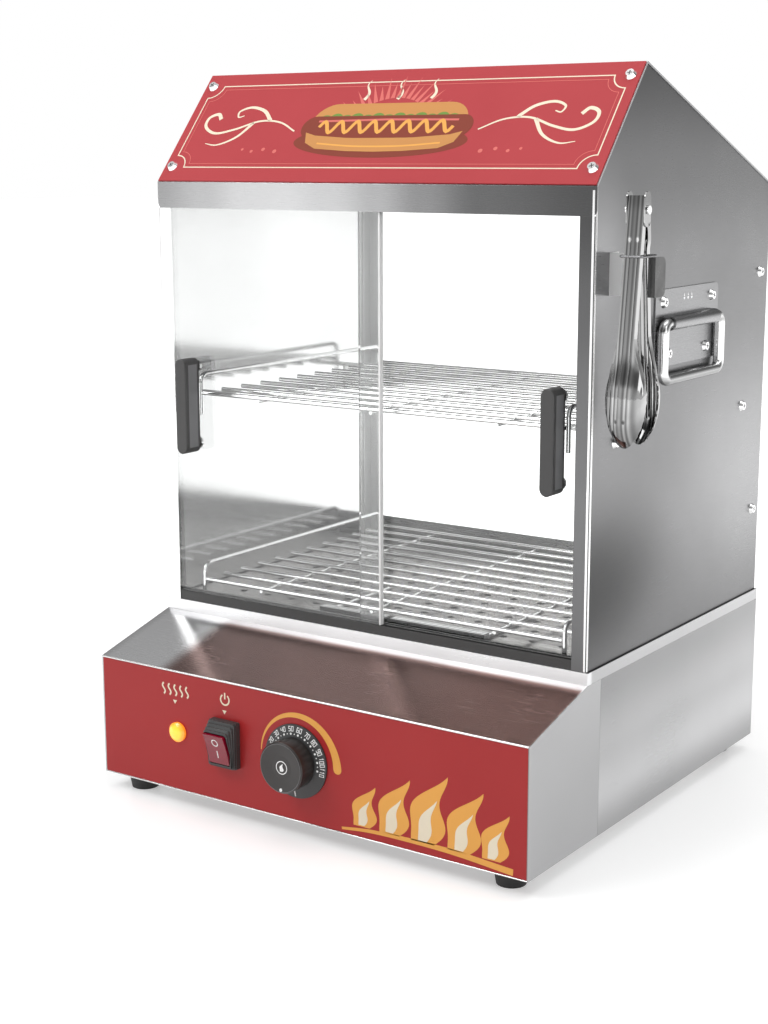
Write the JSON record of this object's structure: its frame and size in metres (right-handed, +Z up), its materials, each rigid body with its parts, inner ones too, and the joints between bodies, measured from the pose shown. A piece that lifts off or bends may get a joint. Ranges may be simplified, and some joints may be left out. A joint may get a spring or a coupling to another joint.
{
  "type": "hot dog steamer",
  "caption": "Counter-top glazed steam cabinet with a roofed sign panel, sliding doors, wire racks over a water pan, a sloped control base and hanging tongs.",
  "frame": {"origin": "centre of the base's 400 x 388 mm footprint, at the level that the rubber feet stand on", "axes": "+X to the right along the front, +Y from the control panel to the rear, +Z up"},
  "size_m": [0.4493, 0.442, 0.5741],
  "materials": {
    "stainless_sheet": "brushed stainless sheet, grain along the long side",
    "red_fascia": "printed deep red panel with mustard and cream marks",
    "sign_red": "printed red sign with a cream double border",
    "black_rubber": "matt black rubber",
    "zinc_steel": "bright domed screws and fittings",
    "element_steel": "dark satin element sheath",
    "copper": "copper bulb and capillary",
    "white_plastic": "smooth white plastic",
    "black_plastic": "satin black plastic",
    "plated_brass": "nickel-plated brass",
    "red_plastic": "red plastic lever",
    "clear_glass": "clear toughened glass with polished edges",
    "yellow_lens": "translucent yellow lamp lens",
    "red_lens": "translucent red rocker",
    "knob_black": "black moulded knob",
    "handle_steel": "satin stainless handle",
    "bright_wire": "bright stainless wire",
    "tongs_steel": "polished stainless"
  },
  "bodies": {
    "cabinet": {"control_housing": "stainless_sheet", "fascia_panel": "red_fascia", "base_shell": "stainless_sheet", "bottom_plate": "stainless_sheet", "rubber_feet": "black_rubber", "foot_screws": "zinc_steel", "deck_plate": "stainless_sheet", "water_pan": "stainless_sheet", "heating_element": "element_steel", "heater_nuts": "zinc_steel", "thermostat_body": "zinc_steel", "temperature_probe": "copper", "terminal_block": "white_plastic", "cord_gland": "black_plastic", "drain_tap_body": "plated_brass", "left_side_panel": "stainless_sheet", "right_side_panel": "stainless_sheet", "roof_shell": "stainless_sheet", "sign_plate": "sign_red", "sign_screws": "zinc_steel", "rear_frame": "stainless_sheet", "rear_glass": "clear_glass", "rear_gasket": "black_rubber", "rear_sill": "stainless_sheet", "bottom_door_track": "black_plastic", "top_door_track": "black_plastic", "shelf_brackets": "stainless_sheet", "lamp_lens": "yellow_lens", "lamp_body": "zinc_steel", "switch_housing": "black_plastic", "switch_boot": "black_rubber", "dial_plate": "black_plastic", "left_handle_plate": "handle_steel", "right_handle_plate": "handle_steel", "side_screws": "zinc_steel", "tongs_holder": "stainless_sheet"},
    "left_door": {"left_door_glass": "clear_glass", "left_door_handle": "black_plastic", "left_door_screws": "zinc_steel", "left_door_seal": "white_plastic"},
    "right_door": {"right_door_glass": "clear_glass", "right_door_handle": "black_plastic", "right_door_screws": "zinc_steel"},
    "rocker": {"switch_rocker": "red_lens"},
    "dial_knob": {"knob": "knob_black", "knob_shaft": "zinc_steel"},
    "left_bail": {"left_handle_bail": "handle_steel"},
    "right_bail": {"right_handle_bail": "handle_steel"},
    "shelf": {"bun_shelf": "bright_wire", "bun_shelf_ends": "bright_wire"},
    "steam_plate": {"perforated_plate": "stainless_sheet", "plate_handle": "stainless_sheet"},
    "rack": {"hot_dog_rack": "bright_wire", "hot_dog_rack_ends": "bright_wire"},
    "tongs": {"tongs_front_arm": "tongs_steel", "tongs_pin": "tongs_steel", "tongs_spring": "tongs_steel"},
    "tongs_rear": {"tongs_rear_arm": "tongs_steel"},
    "ring": {"tongs_ring": "bright_wire"},
    "tap_lever": {"drain_lever": "red_plastic"}
  },
  "joints": [
    {"name": "left_door_slide", "type": "slide", "parent": "cabinet", "child": "left_door", "axis": [1, 0, 0], "range_m": [0, 0.14]},
    {"name": "right_door_slide", "type": "slide", "parent": "cabinet", "child": "right_door", "axis": [1, 0, 0], "range_m": [-0.14, 0]},
    {"name": "rocker_tilt", "type": "hinge", "parent": "cabinet", "child": "rocker", "pos_m": [-0.0703, -0.2005, 0.0626], "axis": [-1, 0, 0], "range_deg": [0, 36]},
    {"name": "knob_turn", "type": "hinge", "parent": "cabinet", "child": "dial_knob", "pos_m": [-0.002, -0.194, 0.0615], "axis": [0, 1, 0], "range_deg": [0, 280]},
    {"name": "left_bail_swing", "type": "hinge", "parent": "cabinet", "child": "left_bail", "pos_m": [-0.2038, 0.038, 0.387], "axis": [0, 1, 0], "range_deg": [0, 90]},
    {"name": "right_bail_swing", "type": "hinge", "parent": "cabinet", "child": "right_bail", "pos_m": [0.2038, 0.038, 0.387], "axis": [0, -1, 0], "range_deg": [0, 90]},
    {"name": "shelf_lift", "type": "slide", "parent": "cabinet", "child": "shelf", "axis": [0, 0, 1], "range_m": [0, 0.1]},
    {"name": "plate_lift", "type": "slide", "parent": "cabinet", "child": "steam_plate", "axis": [0, 0, 1], "range_m": [0, 0.02]},
    {"name": "rack_lift", "type": "slide", "parent": "steam_plate", "child": "rack", "axis": [0, 0, 1], "range_m": [0, 0.1]},
    {"name": "tongs_lift", "type": "slide", "parent": "cabinet", "child": "tongs", "axis": [0, -0.095, 0.9955], "range_m": [0, 0.045]},
    {"name": "tongs_close", "type": "hinge", "parent": "tongs", "child": "tongs_rear", "pos_m": [0.2245, -0.1, 0.473], "axis": [-1, 0, 0], "range_deg": [0, 7], "stiffness_Nm_per_rad": 0.15},
    {"name": "ring_slide", "type": "slide", "parent": "tongs", "child": "ring", "axis": [0, 0, 1], "range_m": [0, 0.02]},
    {"name": "drain_lever_turn", "type": "hinge", "parent": "cabinet", "child": "tap_lever", "pos_m": [0.12, 0.206, 0.1057], "axis": [0, 0, 1], "range_deg": [0, 90]}
  ]
}
